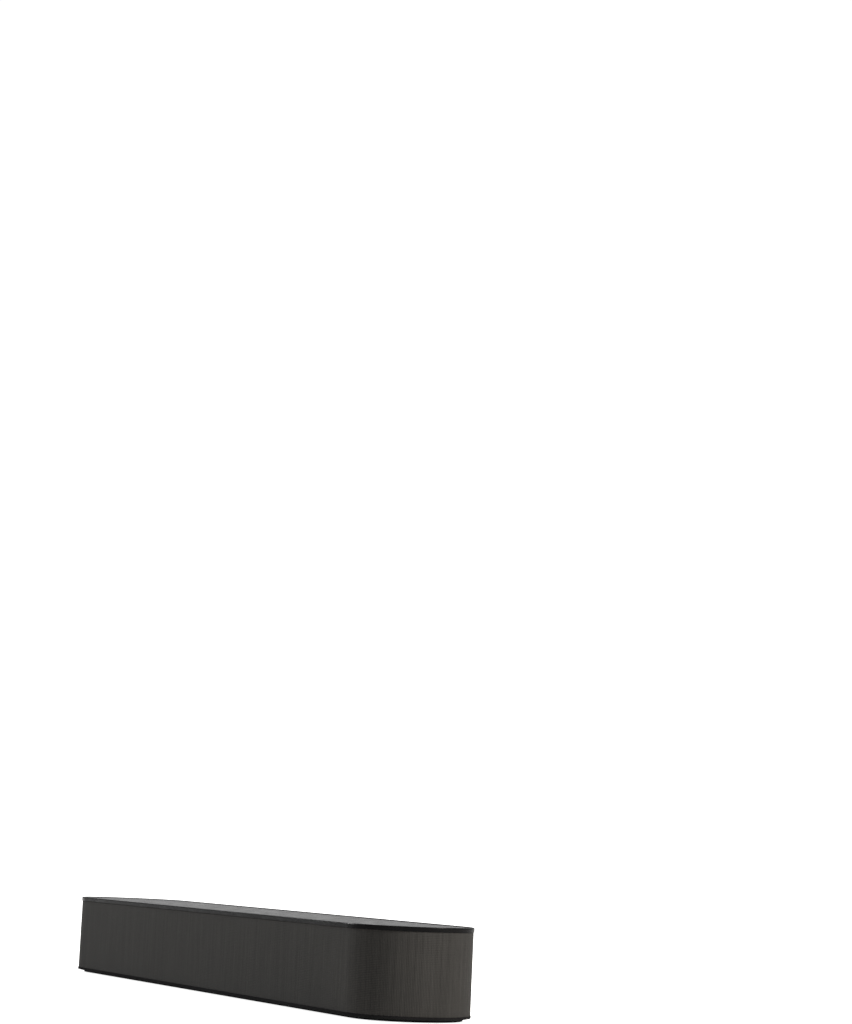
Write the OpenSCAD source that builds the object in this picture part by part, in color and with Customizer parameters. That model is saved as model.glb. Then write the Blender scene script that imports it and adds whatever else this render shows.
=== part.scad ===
/* [Outer shape] */
// Overall length of the bar
bar_w = 651; // [540:1:800]
// Overall depth of the bar
bar_d = 100; // [97:1:125]
// Overall height, foot pads included
bar_h = 69; // [68:1:85]
// Radius of the rounded ends seen from above
corner_r = 48; // [38:0.5:48]

/* [Top lid] */
// Thickness of the lid's rim
lid_t = 3.4; // [2.8:0.1:5]
// Width of the flat rim round the lid's sunk top
lid_rim_w = 2.2; // [1.5:0.1:4]
// How far the top is sunk below the rim
lid_sink = 0.5; // [0.3:0.1:0.8]
// Height of the ring that locates the lid inside the wrap
lid_lip_h = 2.6; // [1.5:0.1:2.8]
// Radius of the lid's snap pegs
peg_r = 2; // [1.2:0.1:2.5]

/* [Cloth and its carrier] */
// How far the cloth is set in from the lid's edge
cloth_inset = 0.6; // [0.2:0.1:1]
// Thickness of the stretched cloth
cloth_t = 0.7; // [0.5:0.1:1]
// Wall of the slotted carrier under the cloth
carrier_t = 1.8; // [1.4:0.1:2.4]
// Width of one slot in the carrier
slot_w = 3.2; // [2.4:0.1:4]
// Distance from one slot to the next
slot_pitch = 7; // [6:0.5:10]
// Width of the ledge at the carrier's foot
ledge_w = 3; // [2:0.1:3.6]

/* [Base] */
// Height of the base, foot pads not counted
base_band_h = 4; // [3.6:0.1:5]
// How far the base's lip is set in from the lid's edge
base_inset = 0.3; // [0.1:0.1:1]
// Height of the lip round the base
base_lip_h = 1.8; // [1.2:0.1:1.8]
// How far the plinth stands back from the lip
undercut_w = 5.6; // [4:0.1:6]
// Height of the slope between the lip and the plinth
undercut_h = 1.2; // [0.8:0.1:1.6]
// Thickness of the base pan's floor
pan_floor_t = 2.2; // [1.8:0.1:2.6]
// How far the foot pads stand below the base
pad_drop = 0.6; // [0.5:0.1:1.5]
// Length of a foot pad
pad_len = 60; // [40:1:80]
// Width of a foot pad
pad_w = 11; // [8:1:14]
// Distance between the two mounting inserts
insert_spacing = 244; // [200:1:250]
// How far the inserts sit in front of the middle
insert_forward = 24; // [18:1:25]
// Length of a mounting insert
insert_len = 8; // [6:1:9]
// Inside radius of a mounting insert (M4)
insert_hole_r = 1.65; // [1.25:0.05:2.1]
// Outside radius of a mounting insert
insert_r = 3; // [2.6:0.1:3.5]

/* [Chassis] */
// Gap from the front of the bar to the chassis
chassis_setback = 10; // [9:0.5:12]
// Gap from each end of the bar to the chassis
end_setback = 29.5; // [28:0.5:36]
// Wall of the chassis
wall_t = 2.6; // [2:0.1:3.2]
// Floor of the chassis
floor_t = 2.4; // [2:0.1:3]
// Thickness of the chassis cover
cover_t = 2.4; // [2:0.1:3]
// Thickness of the gasket under the cover
gasket_t = 1; // [0.6:0.1:1.5]
// Radius of the screw posts
post_r = 3.2; // [3:0.1:4]
// Shank radius of the case screws
screw_r = 1.1; // [0.9:0.1:1.3]
// Shank length of the case screws
screw_len = 8; // [6:1:12]

/* [Connector bay] */
// Clear width of the bay
bay_w = 150; // [146:1:184]
// Clear height of the bay
bay_h = 36; // [34:1:42]
// How far the ports are set in from the back
bay_depth = 20; // [16:1:24]
// Wall of the bay
bay_t = 2; // [1.6:0.1:2.6]
// Height of the ports' board above the bay's lower wall
port_board_rise = 6; // [4:0.5:8]

/* [Drivers] */
// Length of a front woofer's mounting flange
woofer_w = 76; // [72:1:92]
// Thickness of a driver's mounting flange
flange_t = 2.2; // [1.8:0.1:2.6]
// Depth of a woofer behind the baffle
woofer_depth = 30; // [28:1:34]
// Radius of a woofer's magnet
magnet_r = 21; // [16:0.5:22]
// Inside radius of a voice coil
coil_r = 9.6; // [8:0.1:10]
// Wall of a voice coil
coil_t = 0.7; // [0.5:0.1:1]
// Travel of a woofer's cone or a radiator's plate, each way
travel = 3; // [2:0.1:3]
// Distance of a front woofer from the middle
woofer_x = 72; // [70:1:80]
// Radius of the tweeter's dome
dome_r = 10.9; // [9:0.1:12]
// Side of the tweeter's square faceplate
tweeter_w = 40; // [38:1:44]

/* [Pairing button] */
// Radius of the button's cap
button_r = 4.5; // [3.5:0.1:6]
// How far the button can be pushed
button_travel = 0.6; // [0.3:0.1:1]

/* [Hidden] */
$fn = 72;
fit_gap = 0.3;
glue_gap = 0.05;
eps = 0.5;

// screws
screw_small_r = 1;
screw_small_len = 6;
small_head_r = 2;
small_head_h = 1;
head_r = 2.3;
head_h = 1.3;
head_sink = 1.4;
head_gap = 0.3;
boss_r = 5;
insert_wall = 2.4;

// heights
band_top = pad_drop + base_band_h;
lid_z = bar_h - lid_t;
wrap_h = lid_z - band_top;
tub_z = band_top + 0.4;
cover_z = lid_z - lid_lip_h - 0.6 - cover_t;
tub_h = cover_z - gasket_t - tub_z;
mid_z = (tub_z + cover_z) / 2;

// insets from the lid's edge, from the outside in
carrier_in = cloth_inset + cloth_t + glue_gap;
carrier_out = carrier_in + carrier_t;
lip_in = carrier_out + 0.1;
plinth_draft = 0.5;
plinth_in = base_inset + undercut_w + plinth_draft;
pan_rim_in = plinth_in + 1.6;
ledge_t = 1.6;
pad_sink = 1;
pad_inboard = 45;
pad_setback = 21;
insert_drill_extra = 0.4;
insert_roof = 2;

// lid
lid_edge_r = 0.8;
lid_lip_t = 2;
peg_play = 0.1;
peg_foot = 0.8;
peg_setback = 15;
PEG_SHARES = [-0.9, -0.36, 0.36, 0.9];
PINHOLES = [-2:2];
light_pipe_r = 1.1;
light_pipe_head_r = 2;
light_pipe_head_t = 0.5;
pinhole_r = 0.6;
pinhole_pitch = 45;
pinhole_setback = 16;

// chassis
front_y = -bar_d / 2 + chassis_setback;
rear_y = -front_y;
end_x = bar_w / 2 - end_setback;
tub_w = 2 * end_x;
tub_d = rear_y - front_y;
tub_r = 3.5;
floor_z = tub_z + floor_t;

// connector bay
bay_out_w = bay_w + 2 * bay_t;
bay_out_h = bay_h + 2 * bay_t;
bay_r = 5;
bay_out_r = bay_r + bay_t;
bay_lip_y = bar_d / 2 - cloth_inset;
bay_floor_y = bar_d / 2 - cloth_inset - bay_depth - bay_t - 0.6;
bay_flange = 7;
bay_flange_t = 1.6;
bay_flange_h = 2;
bay_flange_r = 3;
bay_screw_out = 3.6;
bay_screw_in = 6;
bay_z = mid_z;
bay_low_z = bay_z - bay_h / 2;
socket_front_y = bay_floor_y + bay_t;

// drivers
flange_h = min(tub_h - 4, 50);
roll_r = travel - 0.5;
roll_t = 0.6;
half_h = flange_h / 2;
edge_r = half_h - 3;
cone_r = edge_r - 2 * roll_r - 0.4;
side_woofer_w = tub_d - 4;
slot_margin = 4;
end_slot_margin = 12;
flange_corner_r = 6;
screw_margin = 4.4;
basket_t = 1.4;
basket_depth = 15.4;
basket_r = edge_r + 0.8;
motor_r = min(magnet_r, half_h - 3.5);
top_plate_t = 3;
yoke_t = 3.5;
pole_r = coil_r - 0.4;
gap_r = coil_r + coil_t + 0.45;
coil_low_z = -woofer_depth + yoke_t + travel + 1.4;
cone_plate_z = -3.6;
cone_t = 0.7;
spider_z = -10;
spider_t = 0.5;
spider_r = min(19.5, edge_r - 1.6);
radiator_wall_h = 7;

// screw posts along the front and back walls
post_wall_y = tub_d / 2 - wall_t - post_r + 0.4;
front_post_x = woofer_x + woofer_w / 2 + post_r;
rear_post_x = bay_out_w / 2 + bay_flange + post_r + 13;
outer_post_x = end_x - woofer_depth - 11;
POSTS = [for (side = [-1, 1])
    for (p = [[front_post_x, -post_wall_y], [outer_post_x, -post_wall_y],
              [rear_post_x, post_wall_y], [outer_post_x, post_wall_y]])
        [side * p[0], p[1]]];

// passive radiators fill the room between the posts
radiator_gap = 4;
radiator_room = outer_post_x - max(front_post_x, rear_post_x) - 2 * post_r;
radiator_w = min(radiator_room - 2 * radiator_gap, 118);
front_radiator_x = (front_post_x + outer_post_x) / 2;
rear_radiator_x = -(max(front_post_x, rear_post_x) + outer_post_x) / 2;

// tweeter
tweeter_hole_r = 16.4;
tweeter_motor_r = 16;
tweeter_depth = 14;
dome_sphere_r = dome_r * 1.47;
dome_z = -0.6;
TWEETER = ["tweeter", [0, front_y, mid_z], 0, tweeter_w];

// boards
board_t = 1.6;
board_front_y = front_y + woofer_depth + 4;
main_board_z = bay_low_z + port_board_rise - board_t;
main_board_rear_y = bay_floor_y - 0.2;
power_board_z = floor_z + 5;
power_x0 = rear_post_x + post_r + 4;
power_x1 = outer_post_x - post_r - 4;
power_rear_y = rear_y - wall_t - 1.4;

// ports along the bay, from the mains end
inlet_x = 52;
ethernet_x = 12;
hdmi_x = -20;
button_x = -48;
inlet_w = 25;
inlet_h = 17;
lobe_r = 4.3;
inlet_rim = 2.2;
inlet_flange_t = 1.6;
inlet_body_len = 13;
inlet_mouth = 11;
port_gap = 0.2;
pin_r = 1.2;
pin_tail = 17;
pin_setback = 2;
inlet_z = bay_low_z + port_board_rise + inlet_h / 2 - 2;
ethernet_w = 16;
ethernet_h = 13.6;
ethernet_len = 21;
hdmi_w = 15.6;
hdmi_h = 6.6;
hdmi_len = 12;
port_z = bay_low_z + port_board_rise;

// the main board ends short of the mains inlet
main_board_gap = 7.5;
main_board_x0 = 1 - bay_out_w / 2;
main_board_w = inlet_x - inlet_w / 2 - main_board_gap - main_board_x0;
main_board_x = main_board_x0 + main_board_w / 2;
button_z = port_z + button_r + 1.9;

switch_front_y = bay_floor_y - 4.4;
switch_w = 8;
switch_d = 5;
switch_cover = 2.6;
stem_r = 1.6;
button_flange_w = 1.2;
button_flange_t = 1;
button_stand_out = 0.6;

// leads
lead_r = 1.1;
trunk_y = front_y + woofer_depth - 3;
trunk_z = floor_z + lead_r + 0.6;
trunk_x = end_x - woofer_depth - 8;
tap_z = mid_z - 7;
tap_out = motor_r + 3;

// name, place, turn and length of each driver; turn 0 faces the front
WOOFERS = [
    ["front_left", [-woofer_x, front_y, mid_z], 0, woofer_w],
    ["front_right", [woofer_x, front_y, mid_z], 0, woofer_w],
    ["side_left", [-end_x, 0, mid_z], -90, side_woofer_w],
    ["side_right", [end_x, 0, mid_z], 90, side_woofer_w]];
RADIATORS = [
    ["left", [-front_radiator_x, front_y, mid_z], 0, radiator_w],
    ["right", [front_radiator_x, front_y, mid_z], 0, radiator_w],
    ["rear", [rear_radiator_x, rear_y, mid_z], 180, radiator_w]];
WOOFER_PARTS = ["basket", "motor", "cone", "voice_coil", "surround", "spider"];
RADIATOR_PARTS = ["plate", "surround"];

// ---------- shared outlines ----------

// The bar's plan, drawn in by an inset
module plan(inset) {
    w = bar_w - 2 * inset;
    d = bar_d - 2 * inset;
    r = corner_r - inset;
    rounded(w, d, r);
}

module rounded(w, d, r) {
    square([w - 2 * r, d], center = true);
    square([w, d - 2 * r], center = true);
    for (x = [-1, 1], y = [-1, 1]) {
        translate([x * (w / 2 - r), y * (d / 2 - r)]) circle(r);
    }
}

module ring_wall(outer, inner, z, h) {
    translate([0, 0, z]) linear_extrude(h) difference() {
        plan(outer);
        plan(inner);
    }
}

// Carries a profile (x is the distance from a corner's middle) round the bar's plan
module plan_sweep() {
    straight_w = bar_w - 2 * corner_r;
    straight_d = bar_d - 2 * corner_r;
    for (turn = [0, 180]) rotate([0, 0, turn]) {
        translate([0, straight_d / 2, 0]) rotate([90, 0, 90])
            linear_extrude(straight_w, center = true) children();
        translate([straight_w / 2, 0, 0]) rotate([90, 0, 0])
            linear_extrude(straight_d, center = true) children();
        translate([straight_w / 2, straight_d / 2, 0])
            rotate_extrude(angle = 90) children();
        translate([-straight_w / 2, straight_d / 2, 0]) rotate([0, 0, 90])
            rotate_extrude(angle = 90) children();
    }
}

// A racetrack outline with straight sides and round ends
module racetrack(straight, r) {
    square([straight, 2 * r], center = true);
    for (x = [-1, 1]) translate([x * straight / 2, 0]) circle(r);
}

module racetrack_plate(straight, r, z, h) {
    translate([0, 0, z]) linear_extrude(h) racetrack(straight, r);
}

module racetrack_tube(straight, outer, inner, z, h) {
    translate([0, 0, z]) linear_extrude(h) difference() {
        racetrack(straight, outer);
        racetrack(straight, inner);
    }
}

// Carries a profile (x is the distance from the middle line) round a racetrack
module racetrack_sweep(straight) {
    for (side = [-1, 1]) {
        translate([side * straight / 2, 0, 0]) rotate([0, 0, -90 * side])
            rotate_extrude(angle = 180) children();
        rotate([0, 0, 90 - 90 * side]) rotate([90, 0, 90])
            linear_extrude(straight, center = true) children();
    }
}

module disc(r, z, h) {
    translate([0, 0, z]) cylinder(r = r, h = h);
}

module tube(outer, inner, z, h) {
    difference() {
        disc(outer, z, h);
        disc(inner, z - eps, h + 2 * eps);
    }
}

// Stands a driver in its place: its own +Z points out of the bar
module place(spot) {
    translate(spot[1]) rotate([90, 0, spot[2]]) children();
}

module flange_plate(w, h, t) {
    linear_extrude(t) rounded(w, h, flange_corner_r);
}

// The four screw places at the corners of a flange
module at_corners(w, h) {
    for (x = [-1, 1], y = [-1, 1])
        translate([x * (w / 2 - screw_margin), y * (h / 2 - screw_margin), 0]) children();
}

module at_posts() {
    for (p = POSTS) translate([p[0], p[1], 0]) children();
}

module at_inserts() {
    for (x = [-1, 1]) translate([x * insert_spacing / 2, -insert_forward, 0]) children();
}

module at_pads() {
    for (x = [-1, 1], y = [-1, 1]) {
        translate([x * (outer_post_x - pad_inboard), y * (bar_d / 2 - pad_setback), 0]) children();
    }
}

module at_pegs() {
    for (x = PEG_SHARES, y = [-1, 1]) {
        translate([x * end_x, y * (tub_d / 2 - peg_setback), 0]) children();
    }
}

// ---------- outer shell ----------

// The lid's rim, rounded along its top edge
module lid_rim_profile() {
    translate([corner_r - lid_rim_w, lid_z]) square([lid_rim_w, lid_t - lid_edge_r]);
    translate([corner_r - lid_rim_w, lid_z]) square([lid_rim_w - lid_edge_r, lid_t]);
    translate([corner_r - lid_edge_r, bar_h - lid_edge_r]) circle(lid_edge_r);
}

module top_lid() {
    peg_z = cover_z + peg_foot;
    color([0.07, 0.07, 0.07]) difference() {
        union() {
            plan_sweep() lid_rim_profile();
            translate([0, 0, lid_z]) linear_extrude(lid_t - lid_sink) plan(lid_rim_w);
            ring_wall(lip_in, lip_in + lid_lip_t, lid_z - lid_lip_h, lid_lip_h);
            at_pegs() disc(peg_r, peg_z, lid_z - peg_z);
        }
        disc(light_pipe_r + peg_play, lid_z - eps, lid_t + 2 * eps);
        for (x = PINHOLES) translate([x * pinhole_pitch, pinhole_setback - bar_d / 2, 0])
            disc(pinhole_r, lid_z - eps, lid_t + 2 * eps);
    }
}

module status_light_pipe() {
    low_z = lid_z - light_pipe_head_t - 0.1;
    color([0.85, 0.87, 0.88]) union() {
        disc(light_pipe_r, low_z, bar_h - lid_sink - low_z);
        disc(light_pipe_head_r, low_z, light_pipe_head_t);
    }
}

// Cuts the cloth's window, rounded like the bay's rim
module cloth_window() {
    bay_shell(bay_out_w + 2 * fit_gap, bay_out_h + 2 * fit_gap, bay_out_r + fit_gap,
        bar_d / 2 - carrier_out - eps, bar_d / 2 + eps);
}

// Cuts the carrier's window, square at the corners
module carrier_window() {
    w = bay_out_w + 2 * fit_gap;
    h = bay_out_h + 2 * fit_gap;
    ledge_y = bar_d / 2 - carrier_out - ledge_w;
    translate([-w / 2, ledge_y - eps, bay_z - h / 2]) cube([w, bar_d / 2 - ledge_y + 2 * eps, h]);
}

module fabric_wrap() {
    color([0.24, 0.235, 0.23]) difference() {
        ring_wall(cloth_inset, cloth_inset + cloth_t, band_top, wrap_h);
        cloth_window();
    }
}

// A row of slots as wide as a driver
module slot_row(width) {
    count = floor((width - slot_w) / slot_pitch / 2);
    for (i = [-count:count]) translate([i * slot_pitch - slot_w / 2, 0, mid_z - half_h + slot_margin])
        cube([slot_w, chassis_setback + carrier_out, flange_h - 2 * slot_margin]);
}

module grille_carrier() {
    color([0.05, 0.05, 0.05]) difference() {
        union() {
            ring_wall(carrier_in, carrier_out, band_top, wrap_h);
            ring_wall(carrier_out - 0.2, carrier_out + ledge_w, band_top, ledge_t);
        }
        carrier_window();
        for (x = [-front_radiator_x, front_radiator_x])
            translate([x, -bar_d / 2 - 2 * eps, 0]) slot_row(radiator_w);
        for (x = [-woofer_x, woofer_x])
            translate([x, -bar_d / 2 - 2 * eps, 0]) slot_row(woofer_w);
        translate([0, -bar_d / 2 - 2 * eps, 0]) slot_row(tweeter_w);
        translate([rear_radiator_x, bar_d / 2 - chassis_setback, 0]) slot_row(radiator_w);
        for (side = [-1, 1]) translate([side * (bar_w / 2 + 2 * eps), 0, 0]) rotate([0, 0, 90 * side])
            slot_row(side_woofer_w - 2 * end_slot_margin);
    }
}

// The base's edge: a thin lip, a slope under it and a plinth set back from both
module base_edge_profile() {
    slope_z = band_top - base_lip_h;
    plinth_z = slope_z - undercut_h;
    polygon([
        [corner_r - pan_rim_in, pad_drop], [corner_r - plinth_in, pad_drop],
        [corner_r - plinth_in + plinth_draft, plinth_z], [corner_r - base_inset, slope_z],
        [corner_r - base_inset, band_top], [corner_r - pan_rim_in, band_top]]);
}

module base_pan() {
    color([0.04, 0.04, 0.04]) difference() {
        union() {
            translate([0, 0, pad_drop]) linear_extrude(pan_floor_t) plan(pan_rim_in);
            plan_sweep() base_edge_profile();
            at_posts() disc(boss_r, pad_drop, tub_z - pad_drop);
            at_inserts() disc(insert_r + insert_wall, pad_drop, insert_len + insert_roof);
        }
        at_posts() {
            disc(screw_r + fit_gap, 0, tub_z + eps);
            disc(head_r + fit_gap, 0, pad_drop + head_gap + head_h + 0.2);
        }
        at_inserts() disc(insert_r + 0.02, 0, pad_drop + insert_len + insert_drill_extra);
        at_pads() translate([0, 0, pad_drop - eps]) linear_extrude(eps + pad_sink)
            racetrack(pad_len - pad_w, pad_w / 2);
    }
}

module foot_pads() {
    color([0.1, 0.1, 0.1]) at_pads()
        racetrack_plate(pad_len - pad_w, pad_w / 2 - glue_gap, 0, pad_drop + pad_sink);
}

module threaded_inserts() {
    color([0.72, 0.57, 0.28]) at_inserts() tube(insert_r, insert_hole_r, pad_drop, insert_len);
}

// ---------- chassis ----------

module chassis_tub() {
    cup_r = insert_r + insert_wall + fit_gap;
    color([0.09, 0.09, 0.09]) difference() {
        union() {
            difference() {
                translate([0, 0, tub_z]) linear_extrude(tub_h) rounded(tub_w, tub_d, tub_r);
                translate([0, 0, floor_z]) linear_extrude(tub_h)
                    rounded(tub_w - 2 * wall_t, tub_d - 2 * wall_t, tub_r - wall_t);
            }
            at_posts() disc(post_r, tub_z, tub_h);
            at_inserts() disc(cup_r + 1.6, tub_z, pad_drop + insert_len + 4 - tub_z);
        }
        at_posts() disc(screw_r + glue_gap, tub_z - eps, tub_h + 2 * eps);
        at_inserts() disc(cup_r, tub_z - eps, pad_drop + insert_len + 2.3 - tub_z + eps);
        for (driver = concat(WOOFERS, RADIATORS)) place(driver) driver_cut(driver[3]);
        place(TWEETER) {
            disc(tweeter_hole_r, -wall_t - eps, wall_t + 2 * eps);
            at_corners(tweeter_w, tweeter_w)
                disc(screw_small_r + glue_gap, -wall_t - eps, wall_t + 2 * eps);
        }
        bay_shell(bay_out_w + 2 * fit_gap, bay_out_h + 2 * fit_gap, bay_out_r + fit_gap,
            rear_y - wall_t - eps, rear_y + eps);
        bay_screws() disc(screw_small_r + glue_gap, -wall_t - eps, wall_t + 2 * eps);
    }
}

// The opening and screw holes that a racetrack driver needs in a baffle
module driver_cut(w) {
    racetrack_plate(w - flange_h, basket_r + fit_gap, -wall_t - eps, wall_t + 2 * eps);
    at_corners(w, flange_h) disc(screw_small_r + glue_gap, -wall_t - eps, wall_t + 2 * eps);
}

module cover_gasket() {
    color([0.16, 0.16, 0.16]) difference() {
        translate([0, 0, tub_z + tub_h]) linear_extrude(gasket_t)
            rounded(tub_w - 2 * fit_gap, tub_d - 2 * fit_gap, tub_r);
        translate([0, 0, tub_z]) linear_extrude(tub_h + 2 * gasket_t)
            rounded(tub_w - 2 * wall_t, tub_d - 2 * wall_t, tub_r - wall_t);
    }
}

module chassis_cover() {
    color([0.1, 0.1, 0.1]) difference() {
        union() {
            translate([0, 0, cover_z]) linear_extrude(cover_t) rounded(tub_w, tub_d, tub_r);
            at_posts() disc(post_r - 0.6, tub_z + tub_h, gasket_t + 0.2);
        }
        at_posts() {
            disc(screw_r + fit_gap, tub_z, bar_h);
            disc(head_r + fit_gap, cover_z + cover_t - head_sink, head_sink + eps);
        }
        at_pegs() disc(peg_r + peg_play, cover_z - eps, cover_t + 2 * eps);
    }
}

module case_screws() {
    low_z = pad_drop + head_gap;
    top_z = cover_z + cover_t - head_sink;
    color([0.35, 0.35, 0.36]) at_posts() {
        disc(head_r, low_z, head_h + 0.2);
        disc(screw_r, low_z + head_h + 0.2, screw_len);
        disc(head_r, top_z, head_h);
        disc(screw_r, top_z - screw_len, screw_len);
    }
}

module bay_shell(w, h, r, y0, y1) {
    translate([0, y0, bay_z]) rotate([-90, 0, 0]) linear_extrude(y1 - y0) rounded(w, h, r);
}

module bay_screws() {
    translate([0, rear_y, bay_z]) rotate([90, 0, 180])
        for (x = [-1, 1], z = [-1, 1])
            translate([x * (bay_out_w / 2 + bay_screw_out), z * (bay_out_h / 2 - bay_screw_in), 0])
                children();
}

module connector_bay() {
    color([0.05, 0.05, 0.05]) difference() {
        union() {
            bay_shell(bay_out_w, bay_out_h, bay_out_r, bay_floor_y, bay_lip_y);
            bay_shell(bay_out_w + 2 * bay_flange, bay_out_h + 2 * bay_flange_h, bay_flange_r,
                rear_y, rear_y + bay_flange_t);
        }
        bay_shell(bay_w, bay_h, bay_r, socket_front_y, bay_lip_y + eps);
        port_cut(inlet_x, inlet_z, inlet_w - 2 * inlet_rim + 2 * port_gap,
            inlet_h - 2 * inlet_rim + 2 * port_gap);
        port_cut(ethernet_x, port_z + ethernet_h / 2, ethernet_w + 2 * fit_gap, ethernet_h + 2 * fit_gap);
        port_cut(hdmi_x, port_z + hdmi_h / 2, hdmi_w + 2 * fit_gap, hdmi_h + 2 * fit_gap);
        translate([button_x, bay_floor_y - eps, button_z]) rotate([-90, 0, 0])
            cylinder(r = button_r + fit_gap, h = bay_t + 2 * eps);
        bay_screws() disc(screw_small_r + 0.2, -eps, bay_flange_t + 2 * eps);
    }
}

module port_cut(x, z, w, h) {
    translate([x - w / 2, bay_floor_y - eps, z - h / 2]) cube([w, bay_t + 2 * eps, h]);
}

// ---------- ports and boards ----------

module figure_eight(r) {
    square([2 * lobe_r, 1.4 * r], center = true);
    for (x = [-1, 1]) translate([x * lobe_r, 0]) circle(r);
}

module mains_inlet() {
    color([0.06, 0.06, 0.06]) difference() {
        union() {
            translate([inlet_x - inlet_w / 2, bay_floor_y - inlet_flange_t, inlet_z - inlet_h / 2])
                cube([inlet_w, inlet_flange_t, inlet_h]);
            translate([inlet_x - inlet_w / 2 + inlet_rim, bay_floor_y - inlet_body_len,
                       inlet_z - inlet_h / 2 + inlet_rim])
                cube([inlet_w - 2 * inlet_rim, inlet_body_len + bay_t, inlet_h - 2 * inlet_rim]);
        }
        translate([inlet_x, socket_front_y - inlet_mouth, inlet_z]) rotate([-90, 0, 0])
            linear_extrude(inlet_mouth + eps) figure_eight(lobe_r);
        inlet_pin_shapes(pin_r, 0.02);
    }
}

module inlet_pin_shapes(r, gap) {
    for (x = [-1, 1]) translate([inlet_x + x * lobe_r, bay_floor_y - pin_tail, inlet_z])
        rotate([-90, 0, 0]) cylinder(r = r + gap, h = pin_tail - pin_setback + bay_t);
}

module inlet_pins() {
    color([0.75, 0.75, 0.74]) inlet_pin_shapes(pin_r, 0);
}

module ethernet_socket() {
    mouth = [11.8, 8];
    mouth_len = 14;
    catch_slot = [6.4, 10, 2.2];
    jacket = 1.6;
    color([0.6, 0.6, 0.6]) difference() {
        translate([ethernet_x - ethernet_w / 2, socket_front_y - ethernet_len, port_z])
            cube([ethernet_w, ethernet_len, ethernet_h]);
        translate([ethernet_x - mouth[0] / 2, socket_front_y - mouth_len, port_z + jacket])
            cube([mouth[0], mouth_len + eps, mouth[1]]);
        translate([ethernet_x - catch_slot[0] / 2, socket_front_y - catch_slot[1], port_z + jacket])
            cube([catch_slot[0], catch_slot[1] + eps, mouth[1] + catch_slot[2]]);
    }
}

module hdmi_socket() {
    shell = 0.6;
    back_wall = 2;
    chamfer = 2;
    tongue = [10, 1.6];
    inner_w = hdmi_w - 2 * shell;
    inner_h = hdmi_h - 2 * shell;
    color([0.7, 0.7, 0.69]) translate([hdmi_x, socket_front_y, port_z + hdmi_h / 2]) {
        difference() {
            translate([-hdmi_w / 2, -hdmi_len, -hdmi_h / 2]) cube([hdmi_w, hdmi_len, hdmi_h]);
            translate([0, -hdmi_len + back_wall, 0]) rotate([-90, 0, 0]) linear_extrude(hdmi_len)
                polygon([[-inner_w / 2, -inner_h / 2], [inner_w / 2, -inner_h / 2],
                         [inner_w / 2, inner_h / 6], [inner_w / 2 - chamfer, inner_h / 2],
                         [chamfer - inner_w / 2, inner_h / 2], [-inner_w / 2, inner_h / 6]]);
        }
        translate([-tongue[0] / 2, -hdmi_len + back_wall / 2, -0.9])
            cube([tongue[0], hdmi_len - 1.5 * back_wall, tongue[1]]);
    }
}

module pairing_switch() {
    color([0.2, 0.2, 0.2]) translate([button_x - switch_w / 2, switch_front_y - switch_d, port_z])
        cube([switch_w, switch_d, button_z - port_z + switch_cover]);
}

module pairing_button() {
    stem_y = switch_front_y + button_travel + 0.1;
    color([0.12, 0.12, 0.12]) translate([button_x, 0, button_z]) rotate([-90, 0, 0]) union() {
        disc(stem_r, stem_y, bay_floor_y - stem_y);
        disc(button_r + button_flange_w, bay_floor_y - button_flange_t - 0.1, button_flange_t);
        disc(button_r, bay_floor_y - button_stand_out, bay_t + 2 * button_stand_out);
    }
}

module chip(x, y, w, d, h) {
    translate([x - w / 2, y - d / 2, 0]) cube([w, d, h]);
}

module main_board() {
    depth = main_board_rear_y - board_front_y;
    color([0.05, 0.28, 0.14]) translate([0, 0, main_board_z]) {
        translate([main_board_x - main_board_w / 2, board_front_y, 0])
            cube([main_board_w, depth, board_t]);
        translate([0, 0, board_t]) {
            chip(-2, board_front_y + 6, 9, 9, 1.4);
            chip(-34, board_front_y + 16, 14, 11, 1.4);
            chip(15, board_front_y + 5, 8, 7, 1.2);
        }
    }
}

// A finned block on the amplifier end of the main board
module heat_sink() {
    len = 22;
    depth = 13;
    foot_t = 3;
    fin_h = 12;
    fin_t = 1.2;
    gaps = 5;
    color([0.55, 0.56, 0.57])
        translate([main_board_x - main_board_w / 2 + 2, board_front_y + 1, main_board_z + board_t]) {
            cube([len, depth, foot_t]);
            for (i = [0:gaps]) translate([i * (len - fin_t) / gaps, 0, foot_t - glue_gap])
                cube([fin_t, depth, fin_h]);
        }
}

module power_board() {
    w = power_x1 - power_x0;
    d = power_rear_y - board_front_y;
    mid_x = (power_x0 + power_x1) / 2;
    mid_y = (power_rear_y + board_front_y) / 2;
    can_r = 5;
    can_h = 22;
    can_pitch = 12;
    leg_r = 2;
    leg_in = 4;
    color([0.3, 0.24, 0.12]) translate([0, 0, power_board_z]) {
        translate([power_x0, board_front_y, 0]) cube([w, d, board_t]);
        translate([0, 0, board_t]) {
            chip(mid_x - 6, mid_y, 24, 22, 20);
            chip(mid_x + w / 2 - 14, mid_y + 6, 16, 12, 14);
            for (i = [1:3]) translate([power_x0 + i * can_pitch, mid_y - can_pitch / 2, 0])
                disc(can_r, 0, can_h);
        }
        for (x = [power_x0 + leg_in, power_x1 - leg_in], y = [board_front_y + leg_in, power_rear_y - leg_in])
            translate([x, y, 0]) disc(leg_r, floor_z - power_board_z, power_board_z - floor_z);
    }
}

module touch_board() {
    size = [220, 36, 1.4];
    pipe_seat = [4.8, 4.8, 1];
    color([0.05, 0.2, 0.3]) translate([0, 0, lid_z - 2.2]) difference() {
        union() {
            translate([-size[0] / 2, -size[1] / 2, 0]) cube(size);
            for (x = [-1, 1]) chip(x * 30, 6, 8, 8, 2.1);
        }
        translate([-pipe_seat[0] / 2, -pipe_seat[1] / 2, 0.9]) cube(pipe_seat);
    }
}

// ---------- drivers, drawn facing +Z ----------

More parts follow.
